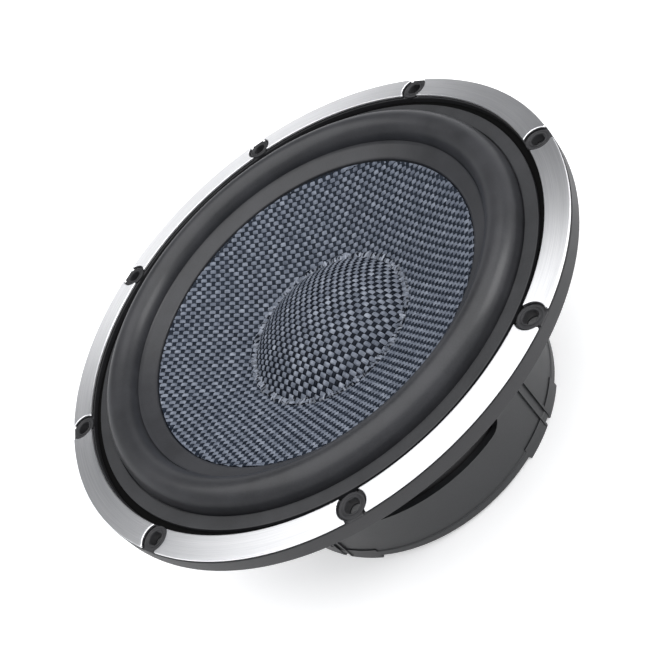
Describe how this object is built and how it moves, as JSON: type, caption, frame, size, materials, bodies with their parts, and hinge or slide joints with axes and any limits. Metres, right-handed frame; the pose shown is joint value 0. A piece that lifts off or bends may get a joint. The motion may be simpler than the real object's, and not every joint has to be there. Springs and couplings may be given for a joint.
{
  "type": "car woofer driver",
  "caption": "Round car woofer driver: segmented bright trim on a black flange, rubber surround, woven cone and dome cap, cast basket and ferrite motor; the cone travels on its axis.",
  "frame": {"origin": "on the driver's axis in the plane of the basket's rear feet", "axes": "+Z along the driver's axis towards the listener; +X and +Y through the middles of two basket windows, the terminals on the +Y side"},
  "size_m": [0.2068, 0.2068, 0.0868],
  "materials": {
    "cast_black": "satin black powder coat on die-cast aluminium",
    "bezel_black": "fine matte charcoal",
    "brushed_silver": "brushed round the ring, polished edges",
    "gasket_grey": "matte",
    "surround_rubber": "soft sheen",
    "woven_glass": "plain weave of blue-grey glass fibre, satin",
    "coil_film": "amber film",
    "copper": "bare copper",
    "spider_cloth": "resin-dipped cotton",
    "black_steel": "black plated",
    "ferrite": "dark ground ceramic",
    "zinc_steel": "bright zinc",
    "terminal_plastic": "moulded",
    "brass": "gold-coloured plate",
    "lead_braid": "braided litz wire"
  },
  "bodies": {
    "frame": {"basket_flange": "cast_black", "basket_collar": "cast_black", "basket_skirt": "cast_black", "basket_spoke_1": "cast_black", "basket_spoke_2": "cast_black", "basket_spoke_3": "cast_black", "basket_spoke_4": "cast_black", "basket_floor": "cast_black", "spider_seat": "cast_black", "bezel_ring": "bezel_black", "trim_1": "brushed_silver", "trim_2": "brushed_silver", "trim_3": "brushed_silver", "trim_4": "brushed_silver", "trim_5": "brushed_silver", "trim_6": "brushed_silver", "trim_7": "brushed_silver", "trim_8": "brushed_silver", "gasket_ring": "gasket_grey", "surround": "surround_rubber", "spider": "spider_cloth", "top_plate": "black_steel", "magnet": "ferrite", "yoke": "black_steel", "shorting_sleeve": "copper", "vent_screen": "zinc_steel", "basket_screw_1": "zinc_steel", "basket_screw_2": "zinc_steel", "basket_screw_3": "zinc_steel", "basket_screw_4": "zinc_steel", "terminal_block": "terminal_plastic", "terminal_positive": "brass", "terminal_negative": "brass", "terminal_rivet": "zinc_steel", "lead_positive": "lead_braid", "lead_negative": "lead_braid"},
    "diaphragm": {"cone": "woven_glass", "dust_cap": "woven_glass", "coil_former": "coil_film", "coil_winding": "copper"}
  },
  "joints": [
    {"name": "cone_travel", "type": "slide", "parent": "frame", "child": "diaphragm", "axis": [0, 0, 1], "range_m": [-0.006, 0.006], "stiffness_N_per_m": 1600, "deforming": ["surround", "spider", "lead_positive", "lead_negative"]}
  ]
}
